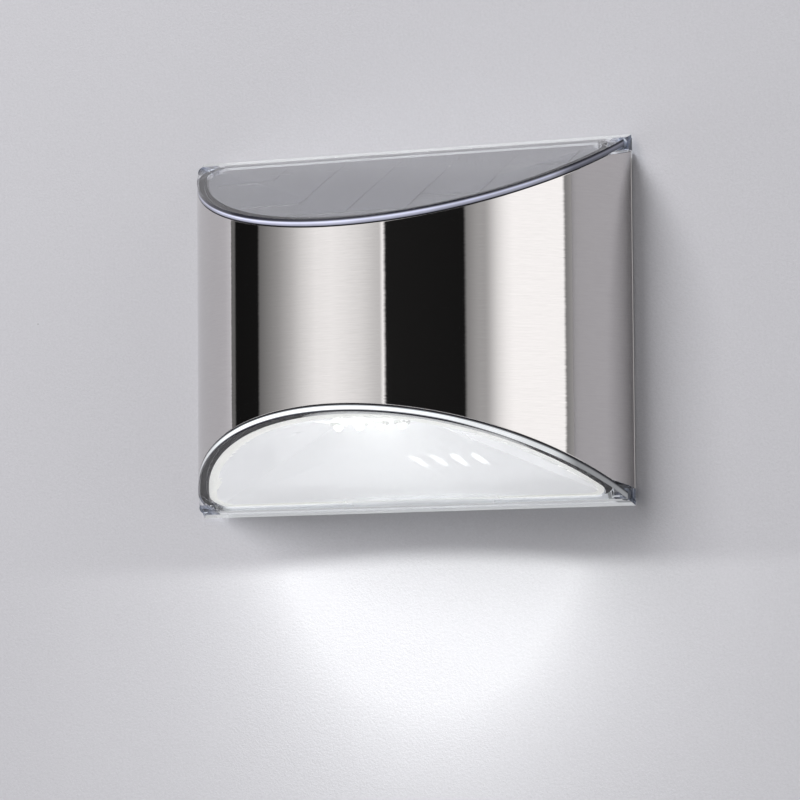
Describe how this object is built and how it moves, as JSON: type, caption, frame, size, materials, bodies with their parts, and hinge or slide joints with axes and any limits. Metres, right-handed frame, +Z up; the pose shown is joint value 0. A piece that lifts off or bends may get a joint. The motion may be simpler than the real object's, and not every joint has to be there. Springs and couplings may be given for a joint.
{
  "type": "fence light",
  "caption": "Solar wall light for fences: a bowed steel shell with clear sloped covers, a solar panel on top and a lit white reflector underneath.",
  "frame": {"origin": "middle of the flat back, where the light lies against the wall", "axes": "+X to the light's right as a person facing the wall sees it, +Y into the wall, +Z up"},
  "size_m": [0.1204, 0.0469, 0.0926],
  "materials": {
    "steel": "brushed along the bow",
    "clear_plastic": "clear, polished",
    "housing_plastic": "fine moulded grain",
    "reflector_plastic": "glossy white",
    "seal_rubber": "matt black",
    "foam": "closed-cell foam",
    "panel_board": "dark laminate",
    "solar_silicon": "dark blue-grey, fine crystal grain",
    "tinned_copper": "tinned, satin",
    "board_white": "white solder mask",
    "board_green": "green solder mask",
    "led_resin": "clear dome on a pale case",
    "screw_steel": "plated",
    "chip_resin": "black resin with plated legs",
    "capacitor_sleeve": "shrunk sleeve with a pale stripe",
    "resistor_coat": "beige coat with colour bands",
    "ferrite": "matt grey-black",
    "copper_wire": "enamelled copper",
    "switch_plastic": "matt black",
    "cell_wrap": "printed shrink wrap",
    "spring_steel": "nickel plated",
    "red_sleeve": "soft sleeve",
    "black_sleeve": "soft sleeve"
  },
  "bodies": {
    "lamp": {"steel_shell": "steel", "top_cover": "clear_plastic", "bottom_lens": "clear_plastic", "top_seal": "seal_rubber", "bottom_seal": "seal_rubber", "inner_housing": "housing_plastic", "solar_board": "panel_board", "solar_cells": "solar_silicon", "cell_ribbons": "tinned_copper", "panel_foam": "foam", "reflector": "reflector_plastic", "led_board": "board_white", "leds": "led_resin", "led_board_screws": "screw_steel", "control_board": "board_green", "control_board_screws": "screw_steel", "controller_chip": "chip_resin", "capacitor": "capacitor_sleeve", "resistor": "resistor_coat", "switch_body": "switch_plastic", "battery": "cell_wrap", "battery_plus_contact": "spring_steel", "battery_minus_contact": "spring_steel", "battery_spring": "spring_steel", "inductor_core": "ferrite", "inductor_coil": "copper_wire", "solar_lead_red": "red_sleeve", "solar_lead_black": "black_sleeve", "battery_lead_red": "red_sleeve", "battery_lead_black": "black_sleeve", "led_lead_red": "red_sleeve", "led_lead_black": "black_sleeve"},
    "switch_slider": {"switch_slider": "switch_plastic"},
    "battery_door": {"battery_door": "housing_plastic", "door_seal": "seal_rubber", "door_screws": "screw_steel"}
  },
  "joints": [
    {"name": "switch_slide", "type": "slide", "parent": "lamp", "child": "switch_slider", "axis": [1, 0, 0], "range_m": [0, 0.002]},
    {"name": "battery_door_lift", "type": "slide", "parent": "lamp", "child": "battery_door", "axis": [0, 1, 0], "range_m": [0, 0.012]}
  ]
}
